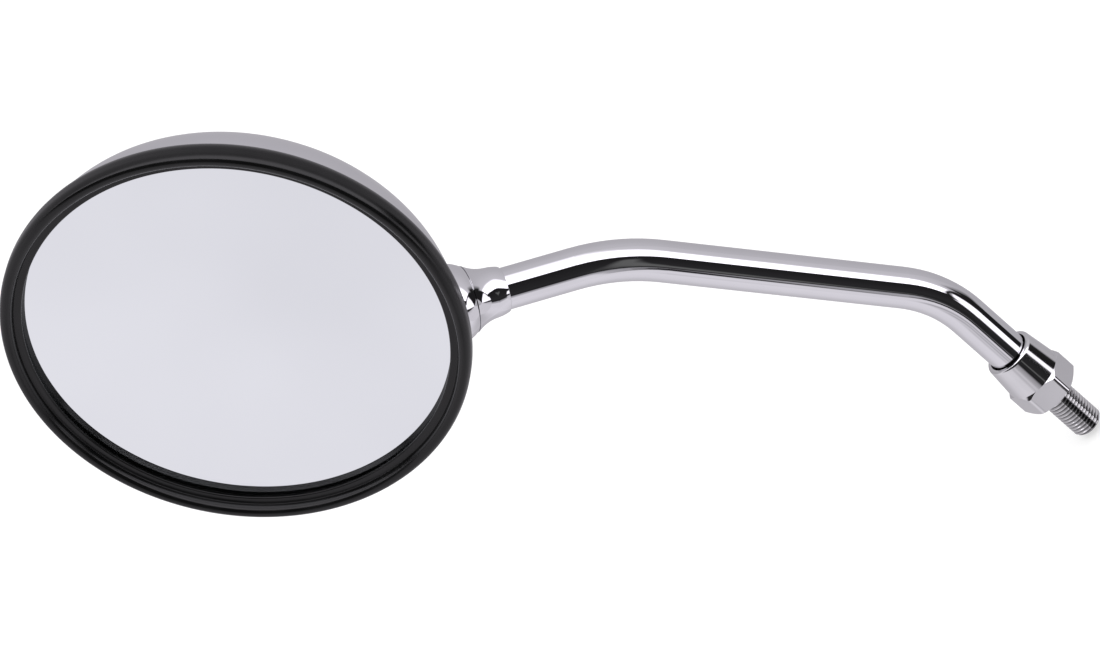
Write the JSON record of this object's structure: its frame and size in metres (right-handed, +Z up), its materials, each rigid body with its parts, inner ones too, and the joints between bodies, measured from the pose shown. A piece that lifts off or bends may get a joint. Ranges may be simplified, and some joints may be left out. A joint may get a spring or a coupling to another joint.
{
  "type": "motorcycle mirror",
  "caption": "Round rear-view mirror for a motorcycle: convex glass in a rubber bezel on a chromed shell, turning on a ball joint at the end of a bent stem with a threaded stud and lock nut.",
  "frame": {"origin": "centre of the lock nut's seating face on the stud's axis", "axes": "+Z up along the stem's lower run, stud pointing to -Z, glass facing -Y, head out to -X"},
  "size_m": [0.2058, 0.0829, 0.2961],
  "materials": {
    "chrome": "polished",
    "zinc_steel": "zinc plated",
    "spring_steel": "oiled",
    "rubber": "satin",
    "mirror": "polished",
    "nylon": "moulded",
    "foam": "foam"
  },
  "bodies": {
    "stem": {"stem_tube": "chrome", "threaded_stud": "chrome", "ball_stud": "zinc_steel", "bell_collar": "chrome"},
    "nut": {"lock_nut": "chrome"},
    "front_seat": {"outer_seat": "nylon"},
    "rear_seat": {"inner_seat": "nylon"},
    "head": {"shell": "chrome", "mirror_glass": "mirror", "backing_pad": "foam", "bezel": "rubber", "clamp_strap": "zinc_steel", "clamp_studs": "zinc_steel", "disc_springs": "spring_steel", "clamp_washers": "zinc_steel", "clamp_nuts": "zinc_steel"}
  },
  "joints": [
    {"name": "nut_turn", "type": "hinge", "parent": "stem", "child": "nut", "pos_m": [0, 0, 0.006], "axis": [0, 0, 1], "continuous": true},
    {"name": "head_spin", "type": "hinge", "parent": "stem", "child": "front_seat", "pos_m": [-0.08247, -0.05254, 0.17184], "axis": [0.6823, 0.4347, -0.5878], "continuous": true},
    {"name": "head_swing", "type": "hinge", "parent": "front_seat", "child": "rear_seat", "pos_m": [-0.08247, -0.05254, 0.17184], "axis": [0.3505, -0.9001, -0.2588], "range_deg": [-10, 10]},
    {"name": "head_nod", "type": "hinge", "parent": "rear_seat", "child": "head", "pos_m": [-0.08247, -0.05254, 0.17184], "axis": [0.6416, 0.0294, 0.7665], "range_deg": [-10, 10]}
  ]
}
